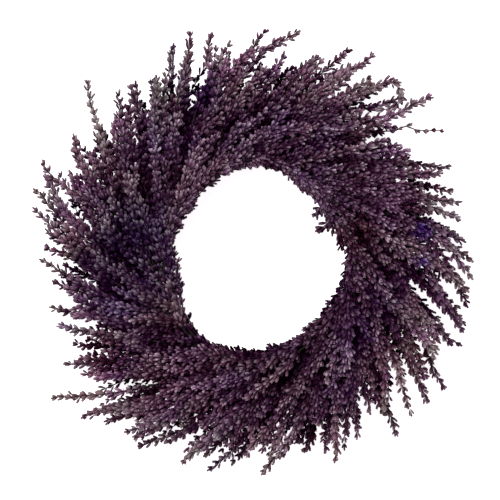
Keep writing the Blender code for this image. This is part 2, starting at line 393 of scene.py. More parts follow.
calyx = {
    "sides": 5,
    "plainSides": 4,
    "length": 0.0069,
    "bellyShare": 0.60,
    "bellyRadius": 0.00122,
    "mouthRadius": 0.00112,
    "mouthDepth": 0.0014,
    "budPoint": 0.0012,
    "sharpEdge": 48,
    "baseHeight": 0.0005,  # lower points are the base
    "mouthShare": 0.9,  # higher ones are the mouth
    "zones": {  # ring on the baking map; painted shade, dark at the base and in the throat and lighter at the mouth; and pale dust with painted highlight
        "base": (0.49, 0.02, 0.0),
        "belly": (0.34, 0.68, 0.14),
        "mouth": (0.15, 1.04, 1.00),
        "throat": (0.0, 0.04, 0.0),
        "bud": (0.0, 0.92, 0.52),
    },
    "dustAndHighlight": (0.400, 0.0, 0.368),  # pale dust with painted highlight, linear; its green is found by fading
    "dustAndHighlightPower": 1.3,
    "brightness": (0.64, 1.36),
}
onAxis = 0.0003  # points this close to an axis lie on it


def mapRound(mesh, rings):  # flattens a small form, seen along its axis, on its cell of the map
    layer = mesh.uv_layers[0]
    layer.name = "OFBake"
    for face in mesh.polygons:
        for corner in face.loop_indices:
            index = mesh.loops[corner].vertex_index
            place = mesh.vertices[index].co
            if math.hypot(place.x, place.y) < onAxis:
                place = face.center  # the point of a cone lies out along each of its faces
            turn = math.atan2(place.y, place.x)
            out = rings[index]
            layer.uv[corner].vector = (0.5 + out * math.cos(turn), 0.5 + out * math.sin(turn))


def modelCalyx(name, sides, closed):
    bellyHeight = calyx["length"] * calyx["bellyShare"]
    bpy.ops.mesh.primitive_cone_add(
        vertices=sides, radius1=0, radius2=calyx["bellyRadius"], depth=bellyHeight,
        location=(0, 0, bellyHeight / 2),
    )
    piece = bpy.context.object
    piece.name = name
    editFaces(piece, lambda face: face.normal.z > 0.9)
    bpy.ops.mesh.extrude_region_move(
        TRANSFORM_OT_translate={"value": (0, 0, calyx["length"] - bellyHeight)}
    )
    flare = calyx["mouthRadius"] / calyx["bellyRadius"]
    bpy.ops.transform.resize(value=(flare, flare, 1))
    offset = calyx["budPoint"] if closed else -calyx["mouthDepth"]
    bpy.ops.mesh.poke(offset=offset, use_relative_offset=False)
    setMode("OBJECT")
    bpy.ops.object.transform_apply(location=True)
    smoothUnder(calyx["sharpEdge"])
    mouthFrom = calyx["length"] * calyx["mouthShare"]
    zones = []
    for point in piece.data.vertices:
        fromAxis = math.hypot(point.co.x, point.co.y)
        if point.co.z < calyx["baseHeight"]:
            zones.append("base")
        elif fromAxis < onAxis:
            zones.append("bud" if closed else "throat")
        else:
            zones.append("mouth" if point.co.z > mouthFrom else "belly")
    rings, shades, dustsAndHighlights = zip(*(calyx["zones"][zone] for zone in zones))
    mapRound(piece.data, rings)
    setFloats(piece.data, "shade", shades)
    setFloats(piece.data, "dustAndHighlight", dustsAndHighlights)
    piece.data.materials.append(finish["driedCalyx"])
    return piece


leaf = {
    "radius": 0.0016,
    "length": 0.0050,
    "flatness": 0.35,
    "tipFrom": 0.004,
    "mapRings": (0.22, 0.48),  # its foot and its tip
    # painted shade, and pale dust with painted highlight
    "shade": 0.5,
    "dustAndHighlight": 0.1,
}


def modelBract():  # a small pointed leaf under a whorl
    bpy.ops.mesh.primitive_cone_add(
        vertices=3, radius1=leaf["radius"], radius2=0, depth=leaf["length"],
        location=(0, 0, leaf["length"] / 2),
    )
    piece = bpy.context.object
    piece.name = "bract"
    editFaces(piece)
    bpy.ops.transform.resize(value=(leaf["flatness"], 1, 1))
    setMode("OBJECT")
    bpy.ops.object.transform_apply(location=True)
    points = piece.data.vertices
    mapRound(piece.data, [leaf["mapRings"][point.co.z > leaf["tipFrom"]] for point in points])
    for name in ("shade", "dustAndHighlight"):
        setFloats(piece.data, name, [leaf[name]] * len(points))
    piece.data.materials.append(finish["driedCalyx"])
    return piece


openCalyx = modelCalyx("open calyx", calyx["sides"], False)
closedCalyx = modelCalyx("closed calyx", calyx["sides"], True)
plainCalyx = modelCalyx("plain calyx", calyx["plainSides"], False)
bract = modelBract()

whorl = {
    "full": ((6, 36, 0.0000), (2, 13, 0.0012)),  # calyces, tilt in degrees and lift of each ring
    "plain": ((5, 34, 0.0002),),
    "tip": ((5, 28, 0.0000), (1, 4, 0.0010)),
    "variants": 5,
    "standOff": 0.0008,
    "liftJitter": 0.0006,
    "turnJitter": 0.24,
    "tiltJitter": 14,
    "closedShare": 0.35,
    "sizes": (0.78, 1.24),
    "bractTilt": 74,
}


def modelWhorl(kind):
    parts = []
    for count, tilt, lift in whorl[kind]:
        first = draw.uniform(0, 360)
        for i in range(count):
            slot = i + whorl["turnJitter"] * draw.uniform(-1, 1)
            turn = math.radians(first + 360 * slot / count)
            lean = math.radians(tilt + whorl["tiltJitter"] * draw.uniform(-1, 1))
            rise = draw.uniform(-whorl["liftJitter"], whorl["liftJitter"])
            matrix = (
                Matrix.Translation((0, 0, lift + rise))
                @ Matrix.Rotation(turn, 4, "Z")
                @ Matrix.Rotation(lean, 4, "Y")
                @ Matrix.Translation((0, 0, whorl["standOff"]))
                @ Matrix.Rotation(draw.uniform(0, 2), 4, "Z")
                @ Matrix.Scale(draw.uniform(*whorl["sizes"]), 4)
            )
            model = closedCalyx if draw.random() < whorl["closedShare"] else openCalyx
            model = plainCalyx if kind == "plain" else model
            parts.append(placeCopy(model, matrix))
    if kind == "full":
        first = draw.uniform(0, 360)
        for half in (0, 180):
            matrix = (
                Matrix.Rotation(math.radians(first + half), 4, "Z")
                @ Matrix.Rotation(math.radians(whorl["bractTilt"]), 4, "Y")
            )
            parts.append(placeCopy(bract, matrix))
    for number, part in enumerate(parts):
        setFloats(part.data, "part", [number] * len(part.data.vertices))
    return joinPieces(kind + " whorl", parts)


whorlModels = {
    kind: [modelWhorl(kind) for _ in range(whorl["variants"])] for kind in ("full", "plain", "tip")
}
whorlShades = {
    model.name: [readFloats(model.data, name) for name in ("shade", "dustAndHighlight", "part")]
    for models in whorlModels.values() for model in models
}
print("whorls modelled")

# Spikes

spike = {
    "pitch": 0.0100,
    "tipPitch": 0.0080,
    "tipStand": 0.0040,
    "thinFrom": 0.60,
    "thinPower": 1.5,
    "tipSize": 0.80,
    "stretches": (1.02, 1.25),
    "pitchJitter": (0.9, 1.1),
    "step": 0.005,
    "stemRadius": 0.0010,
    "stemSides": 4,
    "stemThickness": (0.85, 0.35),  # at its root, and what it loses towards its tip
    "tiltDegrees": 16,
    "bend": 10,
    "turnAway": 6,  # degrees, where it comes too near the hole
    "fall": 1.4,  # how late it drops towards its root
    "rooted": 0.030,
    "rootDrop": 0.012,
    "brightness": (0.66, 1.34),  # of each whorl
    "ownBrightness": (0.74, 1.26),  # of the whole spike
    "patchSize": 0.045,
    "patchDepth": 0.65,
    "patchShift": 0.15,
    "mixedFrom": 0.165,
    "mixedRange": 0.030,
    "mixedDepth": 0.42,
    "mixedSize": 0.020,
    "topLight": 0.36,
    "topRange": 0.006,
    "topLimits": (0.40, 1.40),
    "depthDark": 0.08,
    "depthRange": 0.012,
    "heightLight": 1.15,
    "openFrom": 0.205,
    "openRange": 0.025,
    "openShade": 0.62,
}

tints = {  # linear red and blue, and how much green against the usual
    "plum": (0.088, 0.074, 1.00),
    "violet": (0.078, 0.082, 1.00),
    "rose": (0.096, 0.068, 0.92),
    "brown": (0.088, 0.065, 1.00),
    "grey": (0.064, 0.061, 1.12),
}
fading = {  # a paler calyx is greyer: green as a share of red, and how far its hue may shift
    "reds": (0.000, 0.013, 0.035, 0.080, 0.140, 0.220, 0.350, 0.600),
    "greens": (0.02, 0.060, 0.21, 0.400, 0.54, 0.650, 0.75, 0.84),
    "tinges": (1.80, 1.60, 1.25, 1.00, 0.80, 0.65, 0.50, 0.40),
    "greenest": 0.90,
}
tintShares = {
    "full": {"plum": 6.0, "violet": 1.6, "rose": 1.6, "brown": 1.4, "grey": 0.25},
    "stray": {"plum": 1.6, "rose": 1.6, "brown": 2.2, "grey": 3.4},
}

# Painted light and shade, and colour, over the wreath: by radius, then in soft patches
tones = {
    "radii": (0.100, 0.112, 0.124, 0.136, 0.147, 0.157, 0.168, 0.180, 0.192, 0.203, 0.214, 0.230),
    # painted light and shade by radius: darker in the dense ring, lighter out at the fringe
    "paintedLightAndShade": (0.74, 0.58, 0.81, 0.92, 1.14, 1.54, 1.18, 0.74, 1.00, 1.84, 2.56, 1.98),
    "greens": (1.00, 1.00, 1.00, 1.00, 1.00, 1.00, 0.99, 0.97, 0.95, 0.92, 0.94, 1.10),
    "blues": (1.00, 1.00, 1.01, 1.02, 1.02, 1.02, 0.99, 0.96, 0.94, 0.92, 0.91, 0.91),
    "palest": (1.30, 1.30, 1.30, 1.30, 1.30, 1.30, 1.10, 0.80, 0.60, 0.48, 0.42, 0.41),
    # bearing, radius, spread, brightness as painted light and shade, how much bluer (below zero
    # redder) and how much greener
    "patches": (
        (272, 0.137, 0.028, 0.37, 0.16, 0.50), (264, 0.189, 0.011, 0.40, 0.04, 0.15),
        (341, 0.184, 0.018, 0.68, 0.20, 0.12), (244, 0.167, 0.019, 1.00, 0.21, 0.10),
        (79, 0.117, 0.013, 0.40, -0.18, -0.05), (236, 0.194, 0.019, 1.40, -0.14, -0.20),
        (8, 0.112, 0.015, 0.72, -0.05, -0.06), (113, 0.126, 0.020, 0.56, -0.03, -0.04),
        (124, 0.202, 0.026, 1.12, -0.08, -0.08), (207, 0.163, 0.030, 0.88, -0.07, -0.16),
        (191, 0.117, 0.014, 1.70, -0.12, -0.04), (125, 0.148, 0.014, 0.45, 0.04, 0.00),
        (82, 0.190, 0.006, 0.80, 0.75, 0.00), (92, 0.186, 0.005, 0.90, 0.65, 0.00),
        (330, 0.212, 0.026, 0.88, 0.05, 0.35), (228, 0.226, 0.026, 1.10, -0.08, -0.25),
        (288, 0.134, 0.018, 0.58, 0.06, 0.15), (315, 0.168, 0.036, 1.45, 0.00, 0.04),
        (157, 0.155, 0.027, 0.68, 0.00, 0.00), (45, 0.166, 0.030, 1.60, 0.00, 0.00),
        (246, 0.113, 0.018, 0.72, 0.12, 0.14), (68, 0.160, 0.020, 0.66, -0.02, -0.18),
        (186, 0.162, 0.018, 0.62, -0.05, -0.08),
    ),
}


def rimLine(bearing, height, length):  # points along the edge of the hole
    off = draw.uniform(*layout["rimOffset"])
    drift = draw.uniform(*layout["rimDrift"])
    steps = round(length / spike["step"])
    points = []
    for i in range(steps + 1):
        back = math.degrees((steps - i) * spike["step"] / ring["holeRadius"])
        out = off + drift * (1 - i / steps) ** layout["rimCurve"]
        points.append(onRing(bearing - back, readAround(holeEdge, bearing - back) + out, height))
    return points


def spikeLine(tip, lean, rootHeight, length):  # points from the first whorl to the tip
    bearing, radius, height = tip
    steps = max(2, round(length / spike["step"]))
    step = length / steps
    own = lean - leanAt(radius)
    bend = math.radians(draw.gauss(0, spike["bend"]))
    off = draw.uniform(*layout["edgeOffset"])
    points = []
    for i in range(steps + 1):
        share = i / steps
        level = height + (rootHeight - height) * share ** spike["fall"]
        points.append(onRing(bearing, radius, level))
        angle = math.radians(leanAt(radius) + own * (1 - share)) + bend * math.sin(math.pi * share)
        if radius - step * math.sin(angle) < readAround(holeEdge, bearing) + off:
            angle = min(angle, 0.0) - math.radians(spike["turnAway"])
        bearing -= math.degrees(step * math.cos(angle) / radius)
        radius -= step * math.sin(angle)
    return points[::-1]


def alongLine(points, distance):  # place and direction at a distance along a line of points
    for near, far in zip(points, points[1:]):
        span = (far - near).length
        if distance <= span or far is points[-1]:
            return near.lerp(far, distance / span), (far - near).normalized()
        distance -= span


def patchAt(place, salt):  # slow changes of tone over the wreath, from -1 to 1
    return noise.noise(place / spike["patchSize"] + Vector((0, 0, salt)))


def toneAt(place):  # painted light and shade, shares of green and blue, how much bluer and how pale at most
    radius = (place - ring["rimCentre"]).xy.length
    level, green, blue, palest = (
        float(np.interp(radius, tones["radii"], tones[name]))
        for name in ("paintedLightAndShade", "greens", "blues", "palest")
    )
    cool = 0.0
    for bearing, out, spread, light, bluer, greener in tones["patches"]:
        turn = math.radians(bearing)
        away = math.hypot(place.x - out * math.sin(turn), place.y - out * math.cos(turn))
        near = math.exp(-(away / spread) ** 2 / 2)
        level *= 1 - (1 - light) * near
        cool += bluer * near
        green *= math.exp(greener * near)
    fringed = min(1.0, max(0.0, (radius - spike["mixedFrom"]) / spike["mixedRange"]))
    green *= math.exp(fringed * spike["mixedDepth"] * noise.noise(place / spike["mixedSize"]))
    return level, green, blue, cool, palest


def depthShade(place):  # painted shade: florets that lie deep are darker, except out where nothing covers them
    radius = (place - ring["rimCentre"]).xy.length
    over = (place.z - topAt(radius) + spike["depthRange"]) / spike["depthRange"]
    over = min(spike["heightLight"], max(0.0, over))
    shade = spike["depthDark"] + (1 - spike["depthDark"]) * over
    isOpen = min(1.0, max(0.0, (radius - spike["openFrom"]) / spike["openRange"]))
    return shade + max(0.0, spike["openShade"] - shade) * isOpen


def growSpike(points, kind, size, tint, bright):  # whorls along a line, smaller towards its tip
    length = sum((far - near).length for near, far in zip(points, points[1:]))
    parts = []
    travelled = length - spike["tipStand"]
    while travelled > 0:
        share = travelled / length
        thin = max(0.0, (share - spike["thinFrom"]) / (1 - spike["thinFrom"]))
        full = size * (1 - (1 - spike["tipSize"]) * thin ** spike["thinPower"])
        place, way = alongLine(points, travelled)
        model = draw.choice(whorlModels[kind if parts else "tip"])
        tilt = [math.radians(draw.gauss(0, spike["tiltDegrees"] / 2)) for _ in range(2)]
        stretch = Matrix.Diagonal((full, full, full * draw.uniform(*spike["stretches"]), 1))
        matrix = (
            Matrix.Translation(place)
            @ way.to_track_quat("Z", "Y").to_matrix().to_4x4()
            @ Matrix.Rotation(draw.uniform(0, 2 * math.pi), 4, "Z")
            @ Matrix.Rotation(tilt[0], 4, "X")
            @ Matrix.Rotation(tilt[1], 4, "Y")
            @ stretch
        )
        part = placeCopy(model, matrix)
        shade, dustAndHighlight, number = whorlShades[model.name]
        number = number.astype(int)
        own = np.array([draw.uniform(*calyx["brightness"]) for _ in range(number.max() + 1)])
        dustAndHighlightShare = np.array([draw.random() ** calyx["dustAndHighlightPower"] for _ in range(number.max() + 1)])
        # painted light and shade over the wreath and in the depth, with a random brightness for
        # each whorl
        level, green, blueShare, cool, palest = toneAt(place)
        level *= draw.uniform(*spike["brightness"]) * depthShade(place)
        patch = 1 + spike["patchDepth"] * patchAt(place, 0)
        shift = spike["patchShift"] * patchAt(place, 9) - cool
        red, blue, greenShare = tint
        colour = np.array((red, 0, blue)) * bright * patch
        # each calyx's own colour under painted shade, plus pale dust with painted highlight at its
        # mouth
        plain = (shade * own[number])[:, None] * colour[None, :]
        dustAndHighlightColour = (dustAndHighlight * dustAndHighlightShare[number])[:, None] * np.array(calyx["dustAndHighlight"])[None, :]
        rise = readAll(part.data.vertices, "co", 3)[2::3] - place.z  # painted light: paler on its upper side and darker under it
        lit = np.clip(1 + spike["topLight"] * rise / spike["topRange"], *spike["topLimits"])
        painted = level * lit[:, None] * (plain + dustAndHighlightColour)
        painted = palest * (1 - np.exp(-painted / palest))
        tinge = np.exp(shift * np.interp(painted[:, 0], fading["reds"], fading["tinges"]))
        painted[:, 0] *= tinge
        painted[:, 2] *= blueShare / tinge
        greens = np.interp(painted[:, 0], fading["reds"], fading["greens"])
        painted[:, 1] = painted[:, 0] * np.minimum(fading["greenest"], greens * greenShare * green)
        setColours(part.data, painted)
        parts.append(part)
        pitch = spike["pitch"] + (spike["tipPitch"] - spike["pitch"]) * thin
        travelled -= pitch * draw.uniform(*spike["pitchJitter"])
    return parts


# Where the spikes lie

layout = {
    # tip radius, spikes and the greatest height over the top surface at the tip
    "crown": (
        (0.116, 2, 0.004), (0.130, 2, 0.006), (0.146, 3, 0.008), (0.162, 3, 0.008),
        (0.178, 4, 0.008), (0.194, 4, 0.008), (0.205, 4, 0.006),
    ),
    "crownJitter": 0.008,
    "crownDrop": 0.010,
    "crownWhorls": (6, 8),
    "crownDepth": 0.015,
    "crownSizes": (1.04, 1.24),
    "crownLean": 9,  # how far leans vary, in degrees
    "plainFrom": 0.008,
    "gathered": 0.9,
    "domed": 0.010,
    "slot": (0.15, 0.85),
    "fanned": 6.0,
    "rimHeights": (0.034, 0.043, 0.052),
    "rimJitter": 0.003,
    "rimOffset": (-0.0010, 0.0070),
    "rimDrift": (0.002, 0.012),
    "rimCurve": 0.7,
    "rimLength": 0.060,
    "rimSizes": (0.8, 1.1),
    "edgeOffset": (0.006, 0.013),
    "fringeSlot": (0.1, 0.9),
    "fringeLength": 0.085,
    "clumped": 0.75,
    "clumpReach": 0.007,
    "under": ((0.150, 2), (0.180, 3)),
    "underHeights": (0.027, 0.031),
    "underRoot": 0.031,
    "underLength": 0.075,
    "underSizes": (0.9, 1.1),
    "underLean": 8,
    "tipsLeaveAt": 0.200,
    "tipLengths": (0.088, 0.105),
    "tipSizes": (1.04, 1.20),
}
fringes = (  # the spikes at the rim, and lower ones under them
    {
        "spikes": 7, "leavesAt": 0.225, "past": (-0.030, 0.007), "heights": (0.044, 0.064),
        "root": 0.056, "fanned": 1, "leanVaries": 8, "sizes": (1.02, 1.22),
        "kinds": ("full", "full"),
    },
    {
        "spikes": 6, "leavesAt": 0.220, "past": (-0.024, 0.001), "heights": (0.022, 0.042),
        "root": 0.036, "fanned": 0, "leanVaries": 9, "sizes": (0.9, 1.1),
        "kinds": ("plain", "stray"),
    },
)

# For each 20 degrees from the top clockwise, in mm: the hole's edge from the hole's centre, and
# the reach of the dense foliage from the rim's centre
holeEdge = (108, 94, 93, 94, 99, 99, 94, 94, 98, 102, 103, 100, 88, 88, 91, 91, 98, 102)
denseReach = (
    215, 240, 199, 226, 227, 252, 222, 243, 227, 231, 241, 247, 200, 220, 244, 226, 224, 239,
)

# Tips that stand out: bearing, reach in mm and lean out of the clockwise tangent
outerTips = (
    (3, 251, 55), (11, 251, 45), (17, 234, 60), (25, 252, 62), (31, 257, 66), (38, 244, 66),
    (43, 241, 70), (48, 261, 76), (66, 242, 60), (72, 233, 58), (80, 231, 58),
    (85, 233, 55), (91, 243, 58), (99, 239, 58), (108, 251, 60),
    (114, 242, 62), (119, 230, 58), (125, 264, 64), (130, 255, 62), (135, 248, 62),
    (141, 261, 70), (150, 235, 62), (158, 245, 60), (164, 229, 56), (171, 227, 52),
    (177, 242, 48), (184, 228, 50), (191, 246, 45), (197, 232, 50), (204, 232, 54),
    (210, 250, 56), (215, 242, 56), (221, 251, 58), (226, 263, 58), (234, 272, 58),
    (239, 244, 58), (243, 224, 58), (249, 226, 56), (255, 235, 56), (262, 223, 55),
    (268, 233, 58), (276, 234, 60), (286, 253, 62), (293, 254, 58),
    (300, 236, 56), (307, 222, 56), (316, 266, 53), (320, 238, 55), (325, 230, 56),
    (331, 220, 58), (339, 253, 66), (344, 258, 70), (349, 246, 62), (353, 230, 60),
)
tipLevels = ((0.047, 0.046), (0.058, 0.074), (0.037, 0.022))  # height at root and tip, in turn

# Odd sprigs: bunch, whorls, their size, tints, and a way in mm from the foliage to the tip
sprigs = (
    (0, "full", 1.15, "full", (  # its tip curls over
        (99, 165, 54), (116, 176, 57), (134, 184, 60), (151, 190, 62), (161, 188, 62),
        (166, 178, 61), (165, 169, 59), (157, 161, 57), (146, 159, 56),
    )),
    (1, "tip", 0.72, "stray", (  # nearly bare
        (143, 135, 50), (161, 136, 51), (173, 141, 52), (184, 137, 52),
        (193, 136, 52), (202, 136, 52), (214, 136, 52),
    )),
    (2, "full", 1.2, "stray", ((88, 61, 44), (80, 51, 41), (72, 42, 37))),  # into the hole
    (2, "full", 1.3, "stray", ((104, 46, 44), (92, 37, 41), (78, 26, 36))),
)


top = {
    "middle": 0.1455,
    "halfWidth": 0.0465,
    "edge": 0.041,
    "dome": 0.026,
    "slopeFrom": 0.178,
    "slopeHeight": 0.0600,
    "slope": 0.08,
}


def topAt(radius):  # height of the wreath's upper surface
    offset = min(1.0, abs(radius - top["middle"]) / top["halfWidth"])
    dome = top["edge"] + top["dome"] * math.sqrt(1 - offset * offset)
    if radius < top["slopeFrom"]:
        return dome
    return max(dome, top["slopeHeight"] - top["slope"] * (radius - top["slopeFrom"]))


def readAround(values, bearing):  # between the values of the nearest sectors, in metres
    place = (bearing * len(values) / 360 - 0.5) % len(values)
    near, far = values[int(place)], values[(int(place) + 1) % len(values)]
    return (near + (far - near) * (place % 1)) / 1000


def ownerOf(bearing, radius, lean):  # the bunch that an outer spike comes out of
    start = layout["tipsLeaveAt"]
    forward = (radius - start) / math.tan(math.radians(lean))
    leaves = bearing - math.degrees(2 * forward / (radius + start))
    return math.floor((leaves - sweepAt(start)) / bunchStep) % ring["bunches"]


def inClump(share, clump):  # gathers the fringe into two clumps a bunch, longer in their middles
    turn = 4 * math.pi * (share + clump)
    gathered = share - layout["clumped"] * math.sin(turn) / (4 * math.pi)
    return gathered, layout["clumpReach"] * math.cos(turn)


def layBunch(number):  # the spikes of a bunch: their points, their kind of whorl, size and tints
    rows = []
    fan = draw.gauss(0, layout["fanned"])
    clump = draw.random()

    def lay(bearing, reach, height, lean, rootHeight, length, size, kind="full", family="full"):
        points = spikeLine((bearing, reach, height), lean, rootHeight, length)
        rows.append((points, kind, draw.uniform(*size), family))

    for radius, count, over in layout["crown"]:
        for i in range(count):
            slot = (i + draw.uniform(*layout["slot"])) / count
            share = 0.5 + layout["gathered"] * (slot - 0.5)
            reach = radius + draw.uniform(-layout["crownJitter"], layout["crownJitter"])
            bearing = (number + share) * bunchStep + sweepAt(reach)
            depth = draw.uniform(0, layout["crownDepth"])
            height = topAt(reach) + over - layout["domed"] * (2 * share - 1) ** 2 - depth
            length = spike["pitch"] * draw.uniform(*layout["crownWhorls"])
            lean = leanAt(reach) + fan + draw.gauss(0, layout["crownLean"])
            kind = "plain" if depth > layout["plainFrom"] else "full"
            root = height - layout["crownDrop"]
            lay(bearing, reach, height, lean, root, length, layout["crownSizes"], kind)
    for height in layout["rimHeights"]:
        bearing = (number + draw.random()) * bunchStep + sweepAt(ring["holeRadius"])
        height += draw.uniform(-layout["rimJitter"], layout["rimJitter"])
        points = rimLine(bearing, height, layout["rimLength"])
        rows.append((points, "full", draw.uniform(*layout["rimSizes"]), "full"))
    length = layout["fringeLength"]
    for row in fringes:
        for i in range(row["spikes"]):
            slot = (i + draw.uniform(*layout["fringeSlot"])) / row["spikes"]
            share, further = inClump(slot, clump)
            bearing = (number + share) * bunchStep + sweepAt(row["leavesAt"])
            reach = readAround(denseReach, bearing) + further + draw.uniform(*row["past"])
            lean = leanAt(reach) + row["fanned"] * fan + draw.gauss(0, row["leanVaries"])
            height = draw.uniform(*row["heights"])
            lay(bearing, reach, height, lean, row["root"], length, row["sizes"], *row["kinds"])
    root, length, sizes = (layout[name] for name in ("underRoot", "underLength", "underSizes"))
    for radius, count in layout["under"]:
        for i in range(count):
            slot = (i + draw.uniform(*layout["slot"])) / count
            bearing = (number + slot) * bunchStep + sweepAt(radius)
            lean = leanAt(radius) + draw.gauss(0, layout["underLean"])
            height = draw.uniform(*layout["underHeights"])
            lay(bearing, radius, height, lean, root, length, sizes, "plain")
    sizes = layout["tipSizes"]
    for i, (bearing, reach, lean) in enumerate(outerTips):
        if ownerOf(bearing, reach / 1000, lean) == number:
            root, height = tipLevels[i % len(tipLevels)]
            length = draw.uniform(*layout["tipLengths"])
            lay(bearing, reach / 1000, height, lean, root, length, sizes, family="stray")
    for owner, kind, size, family, path in sprigs:
        if owner == number:
            points = roundLine([Vector(place) / 1000 for place in path], 3)
            rows.append((points, kind, size, family))
    return rows


stems = {
    "count": 32,
    "radius": 0.0011,
    "sides": 6,
    "halfWidth": 0.0118,
    "halfHeight": 0.0076,
    "spiral": 2.39996,  # the golden angle
    "uneven": (-0.003, 0.004),
    "bow": 0.0005,
    "path": (  # how far along, share of width and shift outwards, height and share of height
        (-0.035, 1.04, 0.0, 0.0137, 1.0), (-0.014, 0.94, 0.0, 0.0137, 0.96),
        (0.0, 1.0, 0.0, 0.0137, 1.1), (0.010, 0.66, -0.004, 0.028, 0.6),
        (0.018, 0.5, -0.003, 0.038, 0.5),
    ),
}


def bundleLine(number, spot):  # a stem's way through the bundle, from its cut end into the head
    angle, reach = spot * stems["spiral"], math.sqrt((spot + 0.5) / stems["count"])
    out = stems["halfWidth"] * reach * math.cos(angle)
    up = stems["halfHeight"] * reach * math.sin(angle)
    further = (draw.uniform(*stems["uneven"]), 0, 0, 0, 0)
    bows = (0, draw.gauss(0, stems["bow"]), 0, 0, 0)
    line = [
        byStems(number, along + more, out * wide + shift + bow, height + up * high)
        for (along, wide, shift, height, high), more, bow in zip(stems["path"], further, bows)
    ]
    return line[:1] + roundLine(line[1:], 2)


heart = {
    "inner": 0.112,
    "outer": 0.180,
    "bottom": 0.033,
    "drop": 0.015,
    "rounded": 0.010,
    "thinnest": 0.004,
    "width": 0.985,
    "cuts": 7,
    "rough": 0.003,
    "roughSize": 0.009,
}


def makeHeart(number):  # the inside of the bunch under its spikes, painted dark as shade
    bpy.ops.mesh.primitive_cube_add(size=1)
    piece = bpy.context.object
    editFaces(piece)
    bpy.ops.mesh.subdivide(number_cuts=heart["cuts"])
    setMode("OBJECT")
    bottom = heart["bottom"]
    for point in piece.data.vertices:
        along, side, up = point.co.x + 0.5, point.co.y + 0.5, point.co.z + 0.5
        radius = heart["inner"] + (heart["outer"] - heart["inner"]) * along
        upper = topAt(radius) - heart["drop"] - heart["rounded"] * (2 * along - 1) ** 4
        height = bottom + (max(upper, bottom + heart["thinnest"]) - bottom) * up
        share = 0.5 + heart["width"] * (side - 0.5)
        place = onRing((number + share) * bunchStep + sweepAt(radius), radius, height)
        point.co = place + heart["rough"] * noise.noise_vector(place / heart["roughSize"])
    bpy.ops.object.shade_smooth()
    piece.data.uv_layers[0].name = "OFBake"
    piece.data.materials.append(finish["shadedHeart"])
    return piece


def rootLine(points):  # the stem below a spike, going down into the bunch
    back = (points[0] - points[1]).normalized() * spike["rooted"]
    end = points[0] + Vector((back.x, back.y, -spike["rootDrop"]))
    radius = (end - ring["holeCentre"]).xy.length
    out = (end - ring["holeCentre"]) / radius
    end += Vector((out.x, out.y, 0)) * max(0.0, heart["inner"] - radius)
    return [end, end.lerp(points[0], 0.5)]


bakingMap = {  # lower left and upper right corner of each part, the florets above them all
    "stalks": ((0.15, 0.0), (0.62, 0.14)),
    "bundle": ((0.64, 0.0), (1.0, 0.14)),
    "heart": ((0.002, 0.002), (0.14, 0.14)),
    "floretsFrom": 0.145,
}


def mapFlorets(mesh, low):  # lays the florets' cells of the baking map in a grid above this height
    cell = readFloats(mesh, "cell").astype(int)[readVertices(mesh)] - 1
    isFloret = cell >= 0
    spot = readMap(mesh)
    size = math.sqrt((1 - low) / (cell.max() + 1))
    while math.floor(1 / size) * math.floor((1 - low) / size) <= cell.max():
        size *= 0.999
    columns = math.floor(1 / size)
    grid = np.stack([cell % columns, cell // columns], 1)
    spot[isFloret] = (grid[isFloret] + spot[isFloret]) * size + np.array((0, low))
    writeMap(mesh, spot)


def makeBunch(number):
    parts, lines = [], []
    thick, thinner = spike["stemThickness"]
    for points, kind, size, family in layBunch(number):
        shares = tintShares[family]
        name = draw.choices(list(shares), weights=list(shares.values()))[0]
        bright = draw.uniform(*spike["ownBrightness"])
        parts += growSpike(points, kind, size, tints[name], bright)
        line = [(place, 1.0) for place in rootLine(points)]
        for k in range(0, len(points), 3):
            line.append((points[k], thick - thinner * k / len(points)))
        lines.append(line)
    cell = 1
    for part in parts:
        numbers = readFloats(part.data, "part")
        setFloats(part.data, "cell", numbers + cell)
        cell += int(numbers.max()) + 1
    bundle = [[(place, 1.0) for place in bundleLine(number, i)] for i in range(stems["count"])]
    others = {
        "stalks": wireMesh(
            "stalks", lines, spike["stemRadius"], spike["stemSides"],
            finish["driedStem"], columns=2,
        ),
        "bundle": wireMesh(
            "bundle", bundle, stems["radius"], stems["sides"],
            finish["bundleStem"], finish["cutStemEnd"], columns=2,
        ),
        "heart": makeHeart(number),
    }
    for name, other in others.items():
        moveMap(other.data, *bakingMap[name])
    piece = joinPieces(f"lavenderBunch{number + 1:02d}", [*parts, *others.values()])
    mapFlorets(piece.data, bakingMap["floretsFrom"])
    for name in ("shade", "dustAndHighlight", "part", "cell"):
        piece.data.attributes.remove(piece.data.attributes[name])
    node = f"lavender_bunch_{number + 1:02d}"
    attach(piece, "root")
    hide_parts(node)
    return piece


bunchPieces = [makeBunch(number) for number in range(ring["bunches"])]
print("bunches made:", len(bunchPieces))

for models in ((openCalyx, closedCalyx, plainCalyx, bract), *whorlModels.values()):
    for model in models:
        bpy.data.objects.remove(model)

# Wire frame and ties

wireFrame = {
    "radius": 0.0014,
    "barRadius": 0.0011,
    "bars": 6,
    "segments": 120,
    "sides": 10,
    "weldBearing": 8,
    "weldReach": 0.005,
    "weldSwell": 0.0004,
    "barMelt": (0.45, 0.6),  # shares of a bar's radius that its end draws in and stands out
    "beadSegments": 10,
    "beadRings": 6,
    "beadRadius": 0.0027,
    "beadFlat": 0.68,
    "beadFoot": 0.15,
    "sharpEdge": 50,
}
railRadii = [ring["stemRadius"] + side * ring["railOffset"] for side in (-1, 1)]


